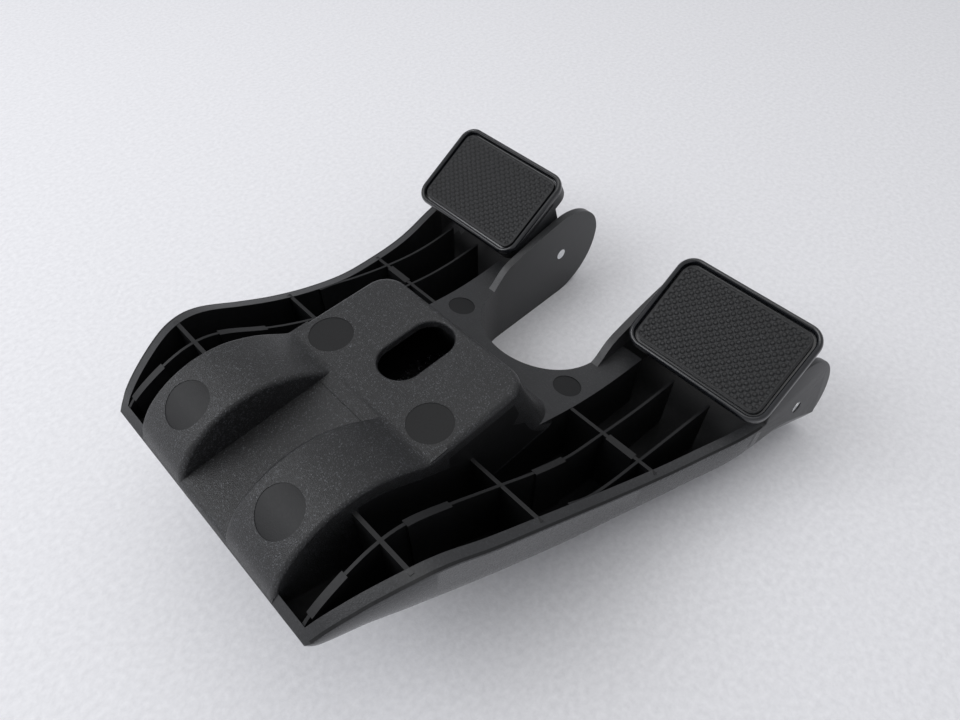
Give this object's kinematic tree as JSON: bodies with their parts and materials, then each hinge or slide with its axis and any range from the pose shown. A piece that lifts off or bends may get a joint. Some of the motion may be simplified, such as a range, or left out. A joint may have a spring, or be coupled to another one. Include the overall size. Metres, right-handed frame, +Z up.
{
  "type": "computer tower holder bracket",
  "caption": "Waisted moulded bracket for a computer tower holder, ribbed inside, with a slotted clamp boss and tilting rubber-faced grip pads on pinned ears.",
  "frame": {"origin": "middle of the footprint, on the plane of the flat show face that the bracket lies on", "axes": "+X along the length from the nose to the hinge ears, +Y across to the left pad, +Z up from the show face to the ribbed side"},
  "size_m": [0.213, 0.1954, 0.0831],
  "materials": {
    "bracket_plastic": "fine spark-eroded texture, satin on ribs and ears",
    "frame_plastic": "smooth semi-gloss",
    "grip_rubber": "fine diamond grain, matt",
    "pin_steel": "bright cut ends",
    "screw_steel": "black oxide",
    "washer_steel": "bright zinc plate"
  },
  "bodies": {
    "bracket": {"bracket_body": "bracket_plastic", "hinge_pin_left": "pin_steel", "hinge_pin_right": "pin_steel"},
    "left_pad": {"pad_frame_left": "frame_plastic", "pad_insert_left": "grip_rubber"},
    "right_pad": {"pad_frame_right": "frame_plastic", "pad_insert_right": "grip_rubber"},
    "clamp_stack": {"clamp_screw": "screw_steel", "clamp_washer": "washer_steel", "lower_washer": "washer_steel", "clamp_nut": "washer_steel"}
  },
  "joints": [
    {"name": "left_pad_tilt", "type": "hinge", "parent": "bracket", "child": "left_pad", "pos_m": [0.0815, 0.0607, 0.025], "axis": [0, 1, 0], "range_deg": [-3, 100]},
    {"name": "right_pad_tilt", "type": "hinge", "parent": "bracket", "child": "right_pad", "pos_m": [0.0815, -0.0607, 0.025], "axis": [0, 1, 0], "range_deg": [-3, 100]},
    {"name": "clamp_slide", "type": "slide", "parent": "bracket", "child": "clamp_stack", "axis": [1, 0, 0], "range_m": [-0.0135, 0.0005]}
  ]
}
